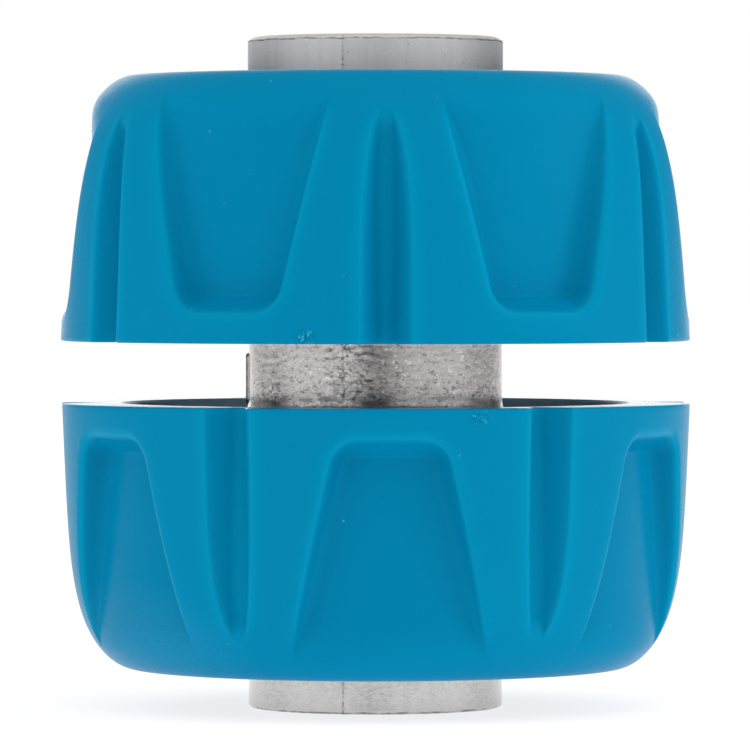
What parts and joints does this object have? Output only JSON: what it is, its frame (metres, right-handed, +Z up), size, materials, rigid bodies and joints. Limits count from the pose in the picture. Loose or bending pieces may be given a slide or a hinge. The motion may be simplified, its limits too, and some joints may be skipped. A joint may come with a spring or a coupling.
{
  "type": "hose mender",
  "caption": "Straight hose mender: a die-cast metal core with a barbed spigot at each end, and a screw-down plastic nut with a split collet over each spigot to clamp the hose.",
  "frame": {"origin": "centre of the lower spigot's end face, on the surface that the mender stands on", "axes": "+Z up along the common axis of the core and both nuts, from the lower spigot to the upper one; the picture looks along +Y"},
  "size_m": [0.032, 0.032, 0.0342],
  "materials": {
    "core": "die-cast, lightly pitted, with a parting line",
    "nut_plastic": "satin moulded, teal blue",
    "collet_plastic": "satin moulded, dark grey"
  },
  "bodies": {
    "core": {"core_body": "core"},
    "upper_grip": {"upper_collet": "collet_plastic"},
    "upper_clamp": {"upper_nut": "nut_plastic"},
    "lower_grip": {"lower_collet": "collet_plastic"},
    "lower_clamp": {"lower_nut": "nut_plastic"}
  },
  "joints": [
    {"name": "upper_nut_travel", "type": "slide", "parent": "core", "child": "upper_grip", "axis": [0, 0, 1], "range_m": [0, 0.0019]},
    {"name": "upper_nut_turn", "type": "hinge", "parent": "upper_grip", "child": "upper_clamp", "pos_m": [0, 0, 0.0171], "axis": [0, 0, 1], "range_deg": [0, 170]},
    {"name": "lower_nut_travel", "type": "slide", "parent": "core", "child": "lower_grip", "axis": [0, 0, -1], "range_m": [0, 0.0019]},
    {"name": "lower_nut_turn", "type": "hinge", "parent": "lower_grip", "child": "lower_clamp", "pos_m": [0, 0, 0.0171], "axis": [0, 0, -1], "range_deg": [0, 170]}
  ],
  "couplings": [
    {"joint": "upper_nut_travel", "follows": "upper_nut_turn", "m_per_rad": 0.00063662},
    {"joint": "lower_nut_travel", "follows": "lower_nut_turn", "m_per_rad": 0.00063662}
  ]
}
